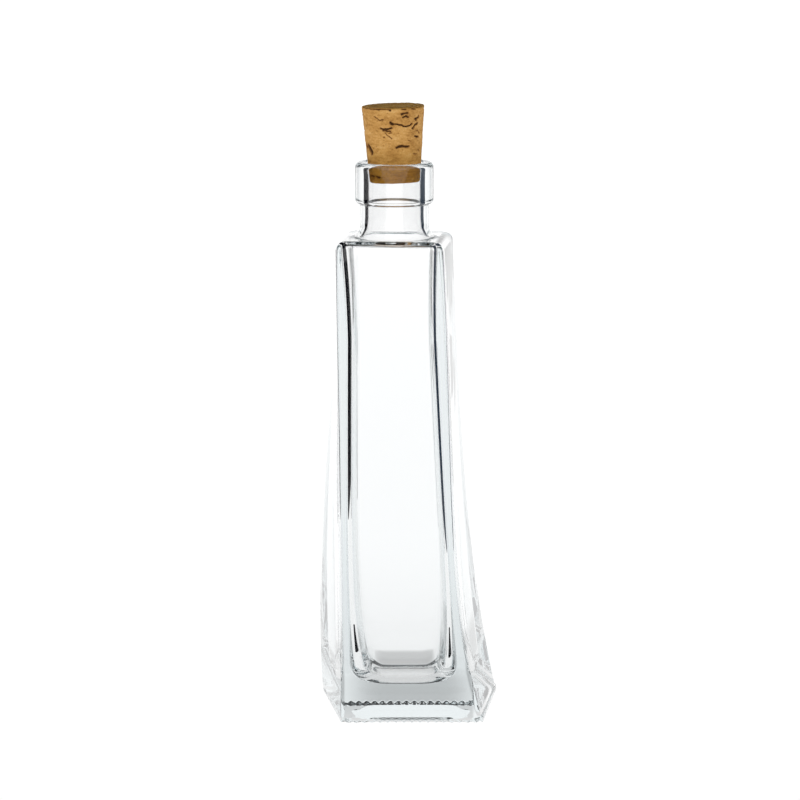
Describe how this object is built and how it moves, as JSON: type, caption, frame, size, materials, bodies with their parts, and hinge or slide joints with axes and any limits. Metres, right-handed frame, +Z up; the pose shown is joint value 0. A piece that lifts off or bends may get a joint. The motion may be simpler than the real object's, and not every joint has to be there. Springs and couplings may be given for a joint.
{
  "type": "decorative bottle",
  "caption": "Heavy clear glass bottle with flat sides that flare to a thick base, and a short banded round neck closed by a tapered cork.",
  "frame": {"origin": "on the plane that the bottle stands on, under the middle of its outline", "axes": "+Z up along the bottle; -Y out of the narrow front face; +X to the right as the picture shows it"},
  "size_m": [0.0608, 0.0586, 0.2068],
  "materials": {
    "glass": "clear, polished",
    "cork": "natural cork, matte"
  },
  "bodies": {
    "bottle": {"glass_bottle": "glass"},
    "cork": {"cork": "cork"}
  },
  "joints": [
    {"name": "cork_pull", "type": "slide", "parent": "bottle", "child": "cork", "axis": [0, 0, 1], "range_m": [0, 0.026]}
  ]
}
